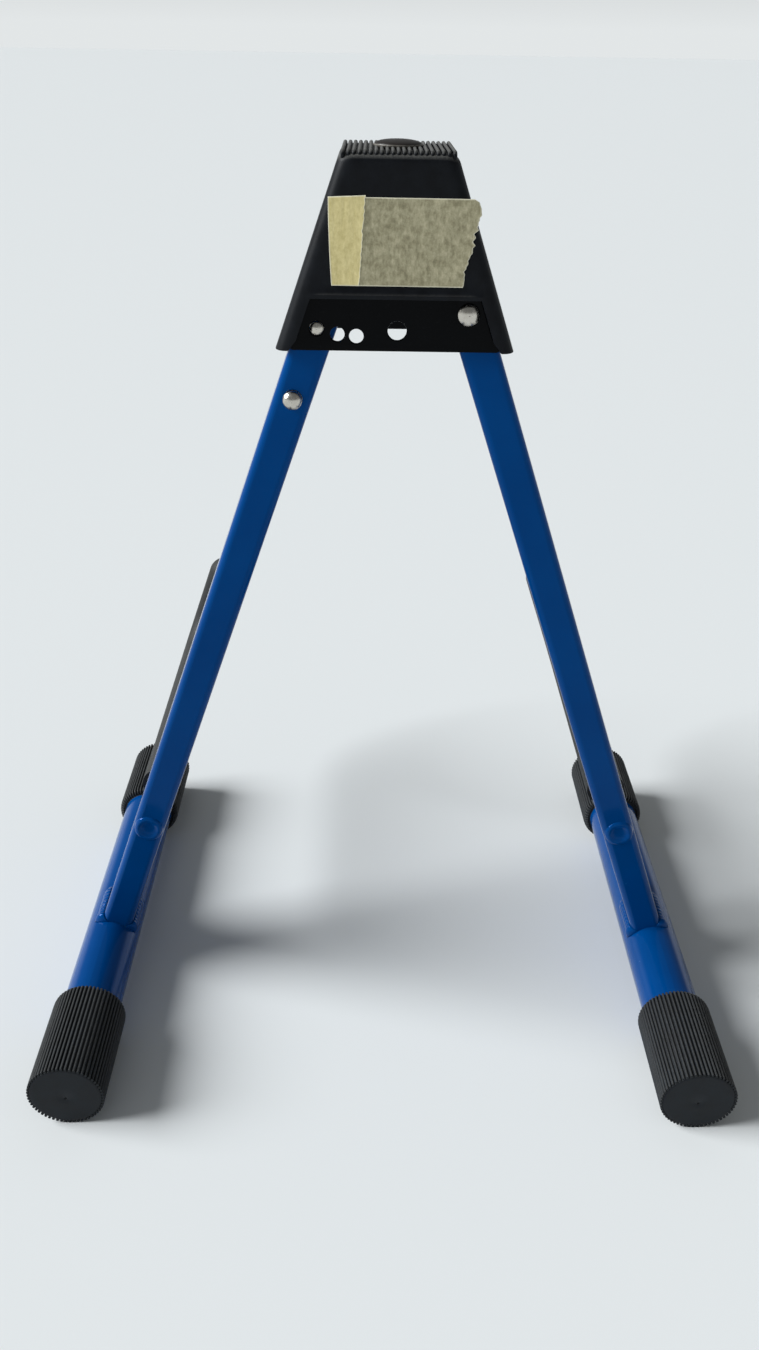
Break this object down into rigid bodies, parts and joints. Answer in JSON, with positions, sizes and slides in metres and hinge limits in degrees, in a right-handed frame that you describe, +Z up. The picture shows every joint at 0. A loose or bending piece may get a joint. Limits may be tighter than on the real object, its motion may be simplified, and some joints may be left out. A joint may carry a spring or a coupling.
{
  "type": "guitar stand",
  "caption": "Folding A-frame floor stand: two tube feet with ribbed caps, two sloping legs, a padded locking head and hooked padded arms that carry an instrument.",
  "frame": {"origin": "on the floor, under the middle of the stand's bounding box", "axes": "+Z up, +X across the stand from the leg that folds to the fixed leg, +Y from the lock side towards the side the instrument rests on"},
  "size_m": [0.2656, 0.2544, 0.332],
  "materials": {
    "blue_paint": "glossy blue baked enamel",
    "black_paint": "glossy black baked enamel",
    "cap_rubber": "satin moulded black rubber",
    "sleeve_rubber": "matt black rubber tube",
    "pad_rubber": "satin moulded black rubber",
    "badge_plastic": "smooth satin black",
    "tape_paper": "creped masking paper",
    "bright_plate": "bright plated steel",
    "bare_steel": "drawn steel",
    "nylon": "natural nylon"
  },
  "bodies": {
    "head_and_right_leg": {"head_badge": "badge_plastic", "head_bracket": "black_paint", "head_pad": "pad_rubber", "left_pivot_rivet": "bright_plate", "paper_tape_label": "tape_paper", "pivot_sleeve": "bare_steel", "pivot_washers": "nylon", "right_arm_rod": "bare_steel", "right_arm_sleeve": "sleeve_rubber", "right_arm_weld": "blue_paint", "right_base_tube": "blue_paint", "right_front_cap": "cap_rubber", "right_leg": "blue_paint", "right_leg_spacers": "nylon", "right_leg_weld": "blue_paint", "right_lower_rivet": "bright_plate", "right_rear_cap": "cap_rubber", "right_upper_rivet": "bright_plate"},
    "left_leg": {"left_arm_rod": "bare_steel", "left_arm_sleeve": "sleeve_rubber", "left_arm_weld": "blue_paint", "left_base_tube": "blue_paint", "left_front_cap": "cap_rubber", "left_leg": "blue_paint", "left_leg_weld": "blue_paint", "left_rear_cap": "cap_rubber", "lock_spring": "bare_steel"},
    "lock_pin": {"lock_pin": "bright_plate"},
    "release_button": {"release_button": "bright_plate"}
  },
  "joints": [
    {"name": "leg_fold", "type": "hinge", "parent": "head_and_right_leg", "child": "left_leg", "pos_m": [-0.0115, -0.02997, 0.3164], "axis": [0, -1, 0], "range_deg": [0, 36.8], "deforming": ["lock_pin"]},
    {"name": "button_press", "type": "slide", "parent": "left_leg", "child": "release_button", "axis": [0, 1, 0], "range_m": [0, 0.0016], "stiffness_N_per_m": 2500, "springref_m": -0.0008, "deforming": ["lock_spring"]},
    {"name": "lock_pin_draw", "type": "slide", "parent": "left_leg", "child": "lock_pin", "axis": [0, 1, 0], "range_m": [0, 0.003]}
  ],
  "couplings": [
    {"joint": "lock_pin_draw", "follows": "button_press", "ratio": 1.86}
  ]
}
